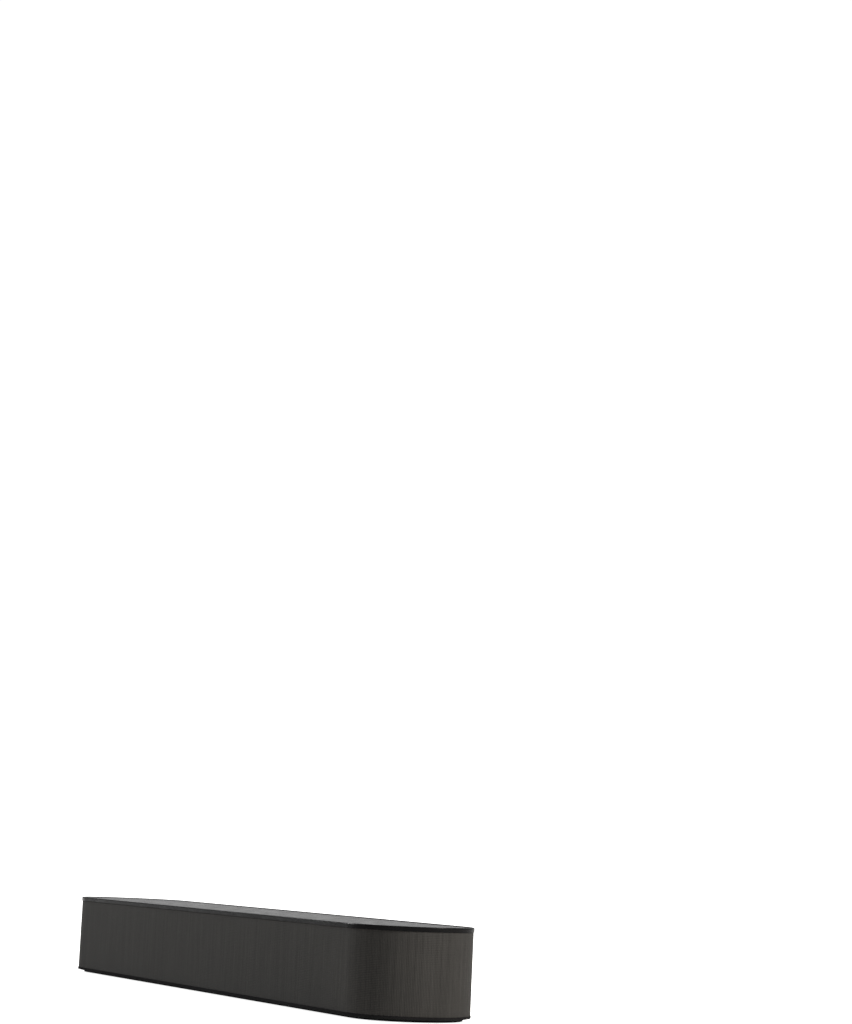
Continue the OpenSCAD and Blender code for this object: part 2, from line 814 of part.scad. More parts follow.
module woofer_basket(w) {
    straight = w - flange_h;
    window = [10, 8, 6];
    window_x = 18;
    color([0.18, 0.18, 0.19]) difference() {
        union() {
            flange_plate(w, flange_h, flange_t);
            racetrack_tube(straight, basket_r, basket_r - basket_t, -basket_depth, basket_depth);
            racetrack_plate(straight, basket_r - 0.2, -basket_depth, basket_t);
            disc(spider_r, -basket_depth, basket_depth + spider_z);
        }
        racetrack_plate(straight, edge_r, -0.01, flange_t + eps);
        disc(spider_r - 2, -basket_depth + basket_t, basket_depth);
        disc(gap_r + 1, -basket_depth - eps, 3);
        at_corners(w, flange_h) disc(screw_small_r + 0.2, -eps, flange_t + 2 * eps);
        for (x = [-1, 1], y = [-1, 1])
            translate([x * window_x - window[0] / 2, y * basket_r - window[1] / 2,
                       -basket_depth + basket_t + 2]) cube(window);
    }
}

module woofer_motor() {
    plate_z = -basket_depth - top_plate_t;
    magnet_h = woofer_depth - basket_depth - top_plate_t - yoke_t;
    color([0.22, 0.22, 0.23]) {
        tube(motor_r - 1, gap_r, plate_z, top_plate_t);
        tube(motor_r, gap_r + 2, plate_z - magnet_h, magnet_h);
        disc(motor_r - 1, -woofer_depth, yoke_t);
        disc(pole_r, -woofer_depth, woofer_depth - basket_depth);
    }
}

module woofer_cone(w) {
    straight = w - flange_h;
    dome_base = coil_r - 0.4;
    dome_curve = 18;
    dome_rise = sqrt(dome_curve * dome_curve - dome_base * dome_base);
    foot_r = coil_r + coil_t + 0.7;
    color([0.12, 0.12, 0.13]) union() {
        racetrack_sweep(straight) polygon([
            [foot_r - 0.1, cone_plate_z], [foot_r + 0.5, cone_plate_z],
            [cone_r - 0.9, flange_t - cone_t], [cone_r, flange_t - cone_t],
            [cone_r, flange_t], [cone_r - 1.3, flange_t],
            [foot_r - 0.1, cone_plate_z + cone_t]]);
        difference() {
            racetrack_plate(straight, foot_r, cone_plate_z, cone_t - 0.1);
            disc(dome_base - 0.8, cone_plate_z - eps, 3);
        }
        intersection() {
            difference() {
                translate([0, 0, cone_plate_z - dome_rise]) sphere(dome_curve);
                translate([0, 0, cone_plate_z - dome_rise]) sphere(dome_curve - 0.6);
            }
            disc(dome_base + 0.3, cone_plate_z, 6);
        }
    }
}

module woofer_voice_coil() {
    color([0.62, 0.36, 0.2]) union() {
        tube(coil_r + coil_t - 0.3, coil_r, coil_low_z, cone_plate_z - coil_low_z);
        tube(coil_r + coil_t, coil_r, coil_low_z, 9);
    }
}

// Half roll of rubber from a moving edge to the flange
module driver_surround(w) {
    inner = cone_r - 0.9;
    mid = (cone_r + edge_r) / 2;
    color([0.08, 0.08, 0.08]) racetrack_sweep(w - flange_h) difference() {
        union() {
            translate([inner, flange_t]) square([mid - inner, roll_t]);
            translate([mid, flange_t]) square([edge_r + 2 - mid, roll_t]);
            intersection() {
                translate([mid, flange_t]) circle(roll_r + roll_t);
                translate([inner, flange_t]) square([edge_r + 2 - inner, 6]);
            }
        }
        translate([mid, flange_t]) circle(roll_r);
    }
}

module woofer_spider() {
    inner = coil_r + coil_t - 0.3 + glue_gap;
    color([0.7, 0.55, 0.3]) rotate_extrude() union() {
        translate([inner, spider_z]) square([spider_r - inner, spider_t]);
        for (i = [1, 2]) translate([inner + i * (spider_r - inner) / 3 - 0.6, spider_z])
            square([1.2, spider_t + 0.6]);
    }
}

module radiator_frame() {
    straight = radiator_w - flange_h;
    color([0.16, 0.16, 0.17]) difference() {
        union() {
            flange_plate(radiator_w, flange_h, flange_t);
            racetrack_tube(straight, basket_r, basket_r - basket_t, -radiator_wall_h, radiator_wall_h);
        }
        racetrack_plate(straight, edge_r, -0.01, flange_t + eps);
        at_corners(radiator_w, flange_h) disc(screw_small_r + 0.2, -eps, flange_t + 2 * eps);
    }
}

module radiator_plate() {
    straight = radiator_w - flange_h;
    color([0.14, 0.14, 0.15]) union() {
        racetrack_plate(straight, cone_r, flange_t - 1.4, 1.4);
        racetrack_plate(straight / 2, cone_r / 2, flange_t - 4.4, 3.1);
    }
}

module tweeter_faceplate() {
    color([0.1, 0.1, 0.1]) difference() {
        union() {
            flange_plate(tweeter_w, tweeter_w, flange_t);
            disc(tweeter_motor_r, -1.1, 1.2);
        }
        translate([0, 0, -eps]) cylinder(r1 = dome_r + 2.1, r2 = dome_r + 4.1, h = flange_t + 2 * eps);
        disc(dome_r + 2.5, -2, 2);
        at_corners(tweeter_w, tweeter_w) disc(screw_small_r + 0.2, -2, flange_t + 3);
    }
}

module tweeter_dome() {
    rise = sqrt(dome_sphere_r * dome_sphere_r - dome_r * dome_r);
    color([0.1, 0.1, 0.12]) union() {
        intersection() {
            translate([0, 0, dome_z - rise]) difference() {
                sphere(dome_sphere_r);
                sphere(dome_sphere_r - 0.4);
            }
            disc(dome_r + 0.2, dome_z, 8);
        }
        tube(dome_r - 0.2, dome_r - 0.8, dome_z - 6.4, 6.6);
    }
}

module tweeter_surround() {
    color([0.1, 0.1, 0.1]) rotate_extrude() union() {
        translate([dome_r + 0.3, -1.6]) square([tweeter_motor_r - 1 - dome_r - 0.3, 0.5]);
        translate([dome_r + 0.3, -1.6]) square([1.2, 0.9]);
    }
}

module tweeter_motor() {
    color([0.3, 0.3, 0.31]) difference() {
        disc(tweeter_motor_r, -tweeter_depth, tweeter_depth - 1.6);
        tube(dome_r + 0.3, dome_r - 1.3, -9, 9);
    }
}

module driver_screw() {
    disc(small_head_r, flange_t, small_head_h);
    disc(screw_small_r, flange_t - screw_small_len, screw_small_len + 0.1);
}

module driver_screws() {
    color([0.45, 0.45, 0.46]) {
        for (driver = concat(WOOFERS, RADIATORS)) {
            place(driver) at_corners(driver[3], flange_h) driver_screw();
        }
        place(TWEETER) at_corners(tweeter_w, tweeter_w) driver_screw();
        bay_screws() translate([0, 0, bay_flange_t - flange_t]) driver_screw();
    }
}

// ---------- leads ----------

module lead(points) {
    for (i = [0:len(points) - 2]) {
        step = points[i + 1] - points[i];
        translate(points[i]) rotate([0, acos(step[2] / norm(step)), atan2(step[1], step[0])])
            cylinder(r = lead_r, h = norm(step), $fn = 16);
        if (i > 0) translate(points[i]) sphere(lead_r, $fn = 16);
    }
}

module speaker_leads() {
    woofer_back_y = front_y + basket_depth;
    color([0.5, 0.08, 0.06]) union() {
        for (side = [-1, 1]) {
            lead([[0, trunk_y, trunk_z], [side * trunk_x, trunk_y, trunk_z],
                  [side * trunk_x, -tap_out, trunk_z], [side * trunk_x, -tap_out, tap_z],
                  [side * (end_x - basket_depth), -tap_out, tap_z]]);
            lead([[side * (woofer_x + tap_out), trunk_y, trunk_z],
                  [side * (woofer_x + tap_out), trunk_y, tap_z],
                  [side * (woofer_x + tap_out), woofer_back_y, tap_z]]);
        }
        lead([[10, trunk_y, trunk_z], [10, trunk_y, mid_z], [10, front_y + tweeter_depth, mid_z]]);
        lead([[-40, trunk_y, trunk_z], [-40, trunk_y, main_board_z + 6],
              [-40, board_front_y + 2, main_board_z + 6],
              [-40, board_front_y + 2, main_board_z + board_t]]);
    }
}

// Two leads from the mains inlet's pins to the power board
module mains_leads() {
    back_y = bay_floor_y - pin_tail;
    board_z = power_board_z + board_t;
    color([0.4, 0.25, 0.1]) for (x = [-1, 1]) {
        turn_y = back_y - 6 + 2 * x;
        lead([[inlet_x + x * lobe_r, back_y, inlet_z], [inlet_x + x * lobe_r, turn_y, inlet_z],
              [power_x0 + 4, turn_y, inlet_z], [power_x0 + 4, turn_y, board_z]]);
    }
}

// ---------- what is drawn ----------

top_lid();
status_light_pipe();
fabric_wrap();
grille_carrier();
base_pan();
foot_pads();
threaded_inserts();
chassis_tub();
cover_gasket();
chassis_cover();
connector_bay();
touch_board();
main_board();
heat_sink();
power_board();
hdmi_socket();
ethernet_socket();
mains_inlet();
inlet_pins();
mains_leads();
pairing_switch();
pairing_button();
speaker_leads();
driver_screws();
case_screws();
for (r = RADIATORS) place(r) radiator_frame();  // radiator_frames
place(TWEETER) tweeter_faceplate();
place(TWEETER) tweeter_dome();
place(TWEETER) tweeter_surround();
place(TWEETER) tweeter_motor();
for (w = WOOFERS) {
    place(w) woofer_basket(w[3]);
    place(w) woofer_motor();
    place(w) woofer_cone(w[3]);
    place(w) woofer_voice_coil();
    place(w) driver_surround(w[3]);
    place(w) woofer_spider();
}
for (r = RADIATORS) {
    place(r) radiator_plate();
    union() {
        place(r) driver_surround(r[3]);
    }
}
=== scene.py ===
from math import cos, pi, radians, sin

import bmesh
import bpy
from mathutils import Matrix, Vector


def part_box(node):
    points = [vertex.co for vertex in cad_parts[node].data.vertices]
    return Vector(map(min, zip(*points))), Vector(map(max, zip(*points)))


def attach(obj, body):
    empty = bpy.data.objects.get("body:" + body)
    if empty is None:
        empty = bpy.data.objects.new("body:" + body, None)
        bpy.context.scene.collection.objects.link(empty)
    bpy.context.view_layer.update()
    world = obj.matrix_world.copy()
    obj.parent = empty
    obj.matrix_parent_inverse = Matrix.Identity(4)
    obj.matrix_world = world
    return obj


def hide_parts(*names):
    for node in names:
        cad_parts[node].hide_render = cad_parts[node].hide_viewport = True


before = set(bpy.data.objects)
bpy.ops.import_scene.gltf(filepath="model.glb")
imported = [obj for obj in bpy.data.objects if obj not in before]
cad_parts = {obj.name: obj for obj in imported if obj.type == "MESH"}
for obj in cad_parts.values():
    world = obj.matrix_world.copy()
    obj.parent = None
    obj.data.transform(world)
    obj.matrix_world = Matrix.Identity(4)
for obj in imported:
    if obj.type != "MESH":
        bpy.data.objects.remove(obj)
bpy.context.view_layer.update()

MM = 0.001
NEAR = 1e-6

# ---------------------------------------------------------------- places taken from the CAD frame

wrap_low, wrap_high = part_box("fabric_wrap")
lid_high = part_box("top_lid")[1]
bay_low, bay_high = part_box("connector_bay")

HALF_LENGTH = wrap_high.x
HALF_DEPTH = wrap_high.y
WRAP_BOTTOM, WRAP_TOP = wrap_low.z, wrap_high.z
LID_CORNER_R = 48 * MM
CORNER_R = LID_CORNER_R - (lid_high.y - wrap_high.y)
CLOTH_T = 0.62 * MM
CLOTH_EDGE_R = 0.26 * MM

# the window that the cloth leaves for the connectors
WINDOW_HALF_W = 77.3 * MM
WINDOW_HALF_H = 20.3 * MM
WINDOW_R = 7.3 * MM
WINDOW_Z = (bay_low.z + bay_high.z) / 2

# the cloth's mesh
WRAP_ROWS = 14
CORNER_STEPS = 24
STEP_LONG = 5 * MM
PATCH_HALF = 95 * MM
PATCH_RINGS = 5


# ---------------------------------------------------------------- small helpers

def mesh_object(name, vertices, faces, smooth=True):
    mesh = bpy.data.meshes.new(name)
    mesh.from_pydata([tuple(v) for v in vertices], [], faces)
    mesh.validate()
    for polygon in mesh.polygons:
        polygon.use_smooth = smooth
    piece = bpy.data.objects.new(name, mesh)
    bpy.context.scene.collection.objects.link(piece)
    return piece


def bake_modifiers(piece):
    """Puts the result of a piece's modifiers into its mesh."""
    graph = bpy.context.evaluated_depsgraph_get()
    mesh = bpy.data.meshes.new_from_object(piece.evaluated_get(graph))
    piece.modifiers.clear()
    piece.data = mesh


# ---------------------------------------------------------------- node graphs for materials

class Graph:
    """A material's node tree, with short calls for the nodes used here."""

    def __init__(self, name):
        self.material = bpy.data.materials.new(name)
        self.material.use_nodes = True
        self.tree = self.material.node_tree
        self.shader = self.tree.nodes["Principled BSDF"]

    def node(self, kind, **settings):
        made = self.tree.nodes.new(kind)
        for key, value in settings.items():
            setattr(made, key, value)
        return made

    def wire(self, value, socket):
        if isinstance(value, bpy.types.NodeSocket):
            self.tree.links.new(value, socket)
        else:
            socket.default_value = value

    def place(self, stretch=(1, 1, 1)):
        """Coordinates in millimetres, stretched along each axis."""
        coordinates = self.node("ShaderNodeTexCoord").outputs["Object"]
        mapping = self.node("ShaderNodeMapping")
        self.wire(coordinates, mapping.inputs["Vector"])
        mapping.inputs["Scale"].default_value = [s / MM for s in stretch]
        return mapping.outputs["Vector"]

    def weave_place(self, stretch=(1, 1, 1)):
        """The cloth's own coordinates: millimetres round the bar, and up it."""
        mapping = self.node("ShaderNodeMapping")
        self.wire(self.node("ShaderNodeUVMap", uv_map="cloth").outputs["UV"], mapping.inputs["Vector"])
        mapping.inputs["Scale"].default_value = stretch
        return mapping.outputs["Vector"]

    def noise(self, where, scale, detail=3.0, roughness=0.55):
        made = self.node("ShaderNodeTexNoise")
        self.wire(where, made.inputs["Vector"])
        made.inputs["Scale"].default_value = scale
        made.inputs["Detail"].default_value = detail
        made.inputs["Roughness"].default_value = roughness
        return made.outputs["Fac"]

    def cells(self, where, scale):
        made = self.node("ShaderNodeTexVoronoi")
        self.wire(where, made.inputs["Vector"])
        made.inputs["Scale"].default_value = scale
        return made.outputs["Distance"]

    def bands(self, where, scale, direction="X"):
        made = self.node("ShaderNodeTexWave", wave_type="BANDS", bands_direction=direction)
        self.wire(where, made.inputs["Vector"])
        made.inputs["Scale"].default_value = scale
        made.inputs["Distortion"].default_value = 0.0
        return made.outputs["Fac"]

    def range(self, value, low, high, to_low, to_high):
        made = self.node("ShaderNodeMapRange")
        self.wire(value, made.inputs["Value"])
        for key, number in zip(("From Min", "From Max", "To Min", "To Max"), (low, high, to_low, to_high)):
            made.inputs[key].default_value = number
        return made.outputs["Result"]

    def math(self, operation, a, b=0.0):
        made = self.node("ShaderNodeMath", operation=operation)
        self.wire(a, made.inputs[0])
        self.wire(b, made.inputs[1])
        return made.outputs[0]

    def mix(self, share, a, b):
        made = self.node("ShaderNodeMix", data_type="RGBA")
        self.wire(share, made.inputs["Factor"])
        self.wire(a if isinstance(a, bpy.types.NodeSocket) else (*a, 1), made.inputs["A"])
        self.wire(b if isinstance(b, bpy.types.NodeSocket) else (*b, 1), made.inputs["B"])
        return made.outputs["Result"]

    def bump(self, height, distance, strength=1.0, under=None):
        made = self.node("ShaderNodeBump")
        self.wire(height, made.inputs["Height"])
        made.inputs["Distance"].default_value = distance
        made.inputs["Strength"].default_value = strength
        if under is not None:
            self.wire(under, made.inputs["Normal"])
        return made.outputs["Normal"]

    def edge_wear(self, radius):
        """1 on worn outside edges, 0 on flats."""
        made = self.node("ShaderNodeNewGeometry")
        return self.range(made.outputs["Pointiness"], 0.5, 0.5 + radius, 0.0, 1.0)

    def finish(self, colour=None, roughness=None, normal=None, **numbers):
        if colour is not None:
            self.wire(colour if isinstance(colour, bpy.types.NodeSocket) else (*colour, 1),
                      self.shader.inputs["Base Color"])
        if roughness is not None:
            self.wire(roughness, self.shader.inputs["Roughness"])
        if normal is not None:
            self.wire(normal, self.shader.inputs["Normal"])
        for key, number in numbers.items():
            self.shader.inputs[key.replace("_", " ")].default_value = number
        return self.material


def moulded_plastic(name, colour, roughness=0.42, grain=0.35, grain_depth=0.012, gloss=0.5, dust=0.25):
    """Spark-eroded injection-moulded plastic: fine grain, faint flow marks, a little handling shine."""
    g = Graph(name)
    where = g.place()
    flow = g.noise(g.place((0.4, 1, 1)), 0.02, 2.0)
    blotch = g.noise(where, 0.09, 4.0)
    fine = g.noise(where, 1 / grain, 2.0, 0.7)
    pits = g.cells(where, 1.6 / grain)
    lighter = [min(1.0, c * 1.6 + 0.002) for c in colour]
    darker = [c * 0.72 for c in colour]
    tone = g.mix(g.range(flow, 0.3, 0.7, 0.0, 1.0), darker, lighter)
    tone = g.mix(g.range(blotch, 0.35, 0.75, 0.0, dust), tone, lighter)
    tone = g.mix(g.range(g.edge_wear(0.12), 0.0, 1.0, 0.0, 0.35), tone, lighter)
    rough = g.math("ADD", g.range(blotch, 0.3, 0.7, roughness - 0.06, roughness + 0.08),
                   g.range(fine, 0.3, 0.7, -0.03, 0.03))
    height = g.math("ADD", g.math("MULTIPLY", pits, 0.5), fine)
    normal = g.bump(height, grain_depth * MM)
    return g.finish(tone, rough, normal, Specular_IOR_Level=gloss)


def cast_metal(name, colour, roughness=0.45, scale=0.7, depth=0.03):
    """Cast or stamped metal with a coarse skin and rubbed edges."""
    g = Graph(name)
    where = g.place()
    skin = g.noise(where, scale, 5.0, 0.65)
    stain = g.noise(where, 0.05, 3.0)
    lighter = [min(1.0, c * 1.45 + 0.03) for c in colour]
    tone = g.mix(g.range(stain, 0.35, 0.7, 0.0, 0.8), colour, [c * 0.75 for c in colour])
    tone = g.mix(g.edge_wear(0.08), tone, lighter)
    rough = g.range(skin, 0.3, 0.7, roughness - 0.1, roughness + 0.12)
    return g.finish(tone, rough, g.bump(skin, depth * MM), Metallic=1.0)


def brushed_metal(name, colour, roughness=0.28, stretch=(0.05, 6, 6), plated=False):
    """Drawn or brushed metal: fine lines one way, with faint stains."""
    g = Graph(name)
    lines = g.noise(g.place(stretch), 1.0, 4.0, 0.7)
    stain = g.noise(g.place(), 0.25, 3.0)
    tone = g.mix(g.range(lines, 0.3, 0.7, 0.0, 1.0), [c * 0.82 for c in colour], colour)
    tone = g.mix(g.range(stain, 0.5, 0.8, 0.0, 0.35), tone, [c * 0.55 for c in colour])
    rough = g.math("ADD", g.range(lines, 0.3, 0.7, -0.05, 0.08),
                   g.range(stain, 0.3, 0.7, roughness, roughness + 0.12))
    normal = g.bump(lines, (0.004 if plated else 0.01) * MM)
    return g.finish(tone, rough, normal, Metallic=1.0)


def soft_rubber(name, colour, roughness=0.78, ribs=None):
    """Matt rubber with a dusty bloom, and moulded ribs where asked."""
    g = Graph(name)
    where = g.place()
    bloom = g.noise(where, 0.12, 4.0)
    fine = g.noise(where, 4.0, 3.0, 0.7)
    tone = g.mix(g.range(bloom, 0.35, 0.75, 0.0, 0.5), colour, [c * 1.7 + 0.01 for c in colour])
    normal = g.bump(fine, 0.01 * MM)
    if ribs:
        normal = g.bump(g.bands(where, ribs, "X"), 0.12 * MM, 1.0, normal)
    return g.finish(tone, g.range(bloom, 0.3, 0.7, roughness - 0.08, roughness + 0.08), normal,
                    Specular_IOR_Level=0.3)


def circuit_board(name, colour, track):
    """Solder mask over copper: tracks on a grid, and pads."""
    g = Graph(name)
    where = g.place()
    grid = g.node("ShaderNodeTexBrick", offset=0.37, offset_frequency=2, squash=0.6, squash_frequency=3)
    g.wire(where, grid.inputs["Vector"])
    for key, number in (("Scale", 0.42), ("Mortar Size", 0.07), ("Mortar Smooth", 0.25),
                        ("Brick Width", 1.6), ("Row Height", 0.55)):
        grid.inputs[key].default_value = number
    tracks = grid.outputs["Fac"]
    patches = g.range(g.noise(where, 0.11, 2.0), 0.45, 0.55, 0.0, 1.0)
    lines = g.math("MULTIPLY", tracks, patches)
    pads = g.range(g.cells(where, 0.45), 0.0, 0.16, 1.0, 0.0)
    tone = g.mix(lines, colour, track)
    tone = g.mix(g.math("MULTIPLY", pads, 0.9), tone, (0.62, 0.6, 0.52))
    height = g.math("ADD", lines, pads)
    return g.finish(tone, g.range(pads, 0.0, 1.0, 0.32, 0.2), g.bump(height, 0.035 * MM),
                    Specular_IOR_Level=0.55)


def pressed_paper(name, colour, fibre, sheen=0.0):
    """Pulp or doped cloth of a loudspeaker cone: fibres lying at random."""
    g = Graph(name)
    fibres = g.noise(g.place((1, 1, 0.35)), 1.3, 6.0, 0.75)
    cross = g.noise(g.place((0.35, 1, 1)), 1.6, 6.0, 0.75)
    both = g.math("MULTIPLY", fibres, cross)
    tone = g.mix(g.range(both, 0.15, 0.42, 0.0, 1.0), colour, fibre)
    return g.finish(tone, g.range(both, 0.1, 0.45, 0.86, 0.7), g.bump(both, 0.06 * MM),
                    Sheen_Weight=sheen, Specular_IOR_Level=0.25)


def fine_cloth(name, colour, thread, pitch):
    """A stiffened woven cloth, as on a spider or a dome."""
    g = Graph(name)
    where = g.place()
    threads = g.math("MAXIMUM", g.bands(where, 0.5 / pitch, "X"), g.bands(where, 0.5 / pitch, "Z"))
    slub = g.noise(where, 0.6, 3.0)
    tone = g.mix(g.math("MULTIPLY", threads, g.range(slub, 0.3, 0.7, 0.5, 1.0)), colour, thread)
    return g.finish(tone, g.range(slub, 0.3, 0.7, 0.7, 0.85), g.bump(threads, 0.08 * MM), Sheen_Weight=0.3)


def wound_copper(name):
    """Lacquered copper wire, turn on turn round the coil."""
    g = Graph(name)
    turns = g.bands(g.place(), 1.6, "Y")
    stain = g.noise(g.place(), 0.4, 3.0)
    tone = g.mix(g.range(turns, 0.2, 0.8, 0.0, 1.0), (0.32, 0.1, 0.04), (0.86, 0.42, 0.24))
    return g.finish(tone, g.range(stain, 0.3, 0.7, 0.2, 0.38), g.bump(turns, 0.12 * MM), Metallic=1.0)


def foam(name, colour):
    g = Graph(name)
    where = g.place()
    holes = g.cells(where, 1.5)
    fine = g.cells(where, 3.6)
    both = g.math("MULTIPLY", holes, fine)
    tone = g.mix(g.range(both, 0.0, 0.4, 1.0, 0.0), colour, [c * 0.35 for c in colour])
    return g.finish(tone, g.range(both, 0.0, 0.4, 0.95, 0.8), g.bump(both, 0.25 * MM),
                    Specular_IOR_Level=0.2)


def clear_plastic(name):
    g = Graph(name)
    haze = g.noise(g.place(), 1.2, 3.0)
    tone = g.mix(g.range(haze, 0.3, 0.7, 0.0, 1.0), (0.5, 0.52, 0.54), (0.72, 0.74, 0.76))
    return g.finish(tone, g.range(haze, 0.3, 0.7, 0.22, 0.34), g.bump(haze, 0.01 * MM),
                    Transmission_Weight=0.5, Specular_IOR_Level=0.5)


def woven_wrap(name):
    """The bar's cloth: a fine, tight plain weave of dark grey yarn with faint upright slubs, with painted
    shade in the weave's hollows and painted light on the yarn's crowns.
    """
    pitch = 0.62
    band_scale = 0.5 / pitch / pi  # a crest about every second pitch
    weft_share = 0.35
    g = Graph(name)
    where = g.weave_place()
    warp = g.bands(where, band_scale, "X")
    weft = g.bands(where, band_scale, "Y")
    checks = g.node("ShaderNodeTexChecker")
    g.wire(where, checks.inputs["Vector"])
    checks.inputs["Scale"].default_value = 1 / pitch
    over = checks.outputs["Fac"]
    yarn = g.math("ADD", g.math("MULTIPLY", warp, over),
                  g.math("MULTIPLY", g.math("MULTIPLY", weft, weft_share), g.math("SUBTRACT", 1.0, over)))
    upright = g.noise(g.weave_place((0.55, 0.012, 1)), 1.0, 3.0, 0.7)
    thread_tone = g.noise(g.weave_place((1.6, 0.05, 1)), 1.0, 2.0, 0.6)
    cross_tone = g.noise(g.weave_place((0.05, 1.6, 1)), 1.0, 2.0, 0.6)
    cloud = g.noise(g.weave_place((0.02, 0.035, 1)), 1.0, 3.0)
    fuzz = g.noise(where, 3.2, 4.0, 0.75)
    # the first pair of tones is painted light and shade: the shade painted into the weave's hollows, and
    # the light painted on the yarn's crowns
    painted_shade_hollow, painted_light_crown = (0.0185, 0.0180, 0.0170), (0.0375, 0.0363, 0.0340)
    slub_tone, dark_thread = (0.0499, 0.0480, 0.0453), (0.0200, 0.0196, 0.0193)
    cross_thread, dusk = (0.0483, 0.0470, 0.0450), (0.0250, 0.0243, 0.0237)
    fibre_tone = (0.0598, 0.0582, 0.0556)
    # painted shade in the hollows between threads and painted light on the crowns, following the yarn's
    # height
    tone = g.mix(g.range(yarn, 0.1, 0.9, 0.0, 1.0), painted_shade_hollow, painted_light_crown)
    tone = g.mix(g.range(upright, 0.35, 0.7, 0.0, 0.38), tone, slub_tone)
    tone = g.mix(g.range(thread_tone, 0.4, 0.75, 0.0, 0.26), tone, dark_thread)
    tone = g.mix(g.range(cross_tone, 0.45, 0.75, 0.0, 0.08), tone, cross_thread)
    tone = g.mix(g.range(cloud, 0.4, 0.65, 0.0, 0.22), tone, dusk)
    tone = g.mix(g.range(fuzz, 0.55, 0.8, 0.0, 0.3), tone, fibre_tone)
    normal = g.bump(yarn, 0.14 * MM, 0.32)
    normal = g.bump(g.math("ADD", upright, fuzz), 0.05 * MM, 0.6, normal)
    return g.finish(tone, g.range(fuzz, 0.3, 0.7, 0.82, 0.95), normal,
                    Sheen_Weight=0.05, Sheen_Roughness=0.4, Specular_IOR_Level=0.03)


# ---------------------------------------------------------------- finishes for the CAD nodes

FINISHES = {
    "lid_plastic": moulded_plastic(
        "lid_plastic", (0.005, 0.005, 0.0052),
        roughness=0.2, grain=0.22, grain_depth=0.003, gloss=0.03, dust=0.15),
    "clear_plastic": clear_plastic("clear_plastic"),
    "black_plastic": moulded_plastic("black_plastic", (0.022, 0.022, 0.023), roughness=0.5),
    "base_plastic": moulded_plastic(
        "base_plastic", (0.006, 0.006, 0.0062), roughness=0.55, grain=0.4, grain_depth=0.016, gloss=0.005),
    "foot_rubber": soft_rubber("foot_rubber", (0.022, 0.022, 0.023), roughness=0.8, ribs=0.9),
    "insert_brass": brushed_metal("insert_brass", (0.78, 0.58, 0.27), roughness=0.26, stretch=(2, 2, 8)),
    "chassis_plastic": moulded_plastic(
        "chassis_plastic", (0.035, 0.035, 0.036), roughness=0.55, grain=0.6, grain_depth=0.03),
    "gasket_foam": foam("gasket_foam", (0.05, 0.05, 0.052)),
    "bay_plastic": moulded_plastic(
        "bay_plastic", (0.014, 0.014, 0.0145), roughness=0.5, grain=0.35, grain_depth=0.014, gloss=0.4),
    "blue_board": circuit_board("blue_board", (0.012, 0.055, 0.14), (0.03, 0.11, 0.24)),
    "green_board": circuit_board("green_board", (0.006, 0.075, 0.03), (0.02, 0.16, 0.06)),
    "brown_board": circuit_board("brown_board", (0.12, 0.075, 0.03), (0.24, 0.15, 0.06)),
    "sink_aluminium": brushed_metal(
        "sink_aluminium", (0.78, 0.79, 0.8), roughness=0.36, stretch=(6, 0.06, 6)),
    "socket_steel": brushed_metal(
        "socket_steel", (0.62, 0.62, 0.61), roughness=0.24, stretch=(0.08, 5, 5), plated=True),
    "inlet_plastic": moulded_plastic(
        "inlet_plastic", (0.012, 0.012, 0.012), roughness=0.4, grain=0.3, grain_depth=0.01),
    "pin_steel": brushed_metal(
        "pin_steel", (0.74, 0.73, 0.7), roughness=0.2, stretch=(6, 0.2, 6), plated=True),
    "lead_jacket": soft_rubber("lead_jacket", (0.3, 0.03, 0.024), roughness=0.45),
    "screw_steel": cast_metal("screw_steel", (0.32, 0.32, 0.33), roughness=0.34, scale=2.5, depth=0.008),
    "basket_metal": cast_metal("basket_metal", (0.16, 0.16, 0.165), roughness=0.5),
    "motor_metal": cast_metal("motor_metal", (0.24, 0.24, 0.245), roughness=0.4, scale=1.2, depth=0.015),
    "cone_paper": pressed_paper("cone_paper", (0.02, 0.02, 0.022), (0.075, 0.072, 0.07), sheen=0.1),
    "coil_copper": wound_copper("coil_copper"),
    "surround_rubber": soft_rubber("surround_rubber", (0.016, 0.016, 0.017), roughness=0.6),
    "spider_cloth": fine_cloth("spider_cloth", (0.36, 0.23, 0.08), (0.66, 0.48, 0.2), pitch=0.5),
    "dome_cloth": fine_cloth("dome_cloth", (0.02, 0.02, 0.026), (0.07, 0.07, 0.085), pitch=0.25),
    "radiator_plastic": pressed_paper("radiator_plastic", (0.028, 0.028, 0.03), (0.07, 0.07, 0.072)),
    "button_plastic": moulded_plastic(
        "button_plastic", (0.03, 0.03, 0.031), roughness=0.38, grain=0.3, grain_depth=0.01),
}

for cad_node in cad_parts.values():
    for place, old in enumerate(cad_node.data.materials):
        slot = old.name.split(".")[0]
        if slot in FINISHES:
            cad_node.data.materials[place] = FINISHES[slot]


# ---------------------------------------------------------------- the cloth wrap

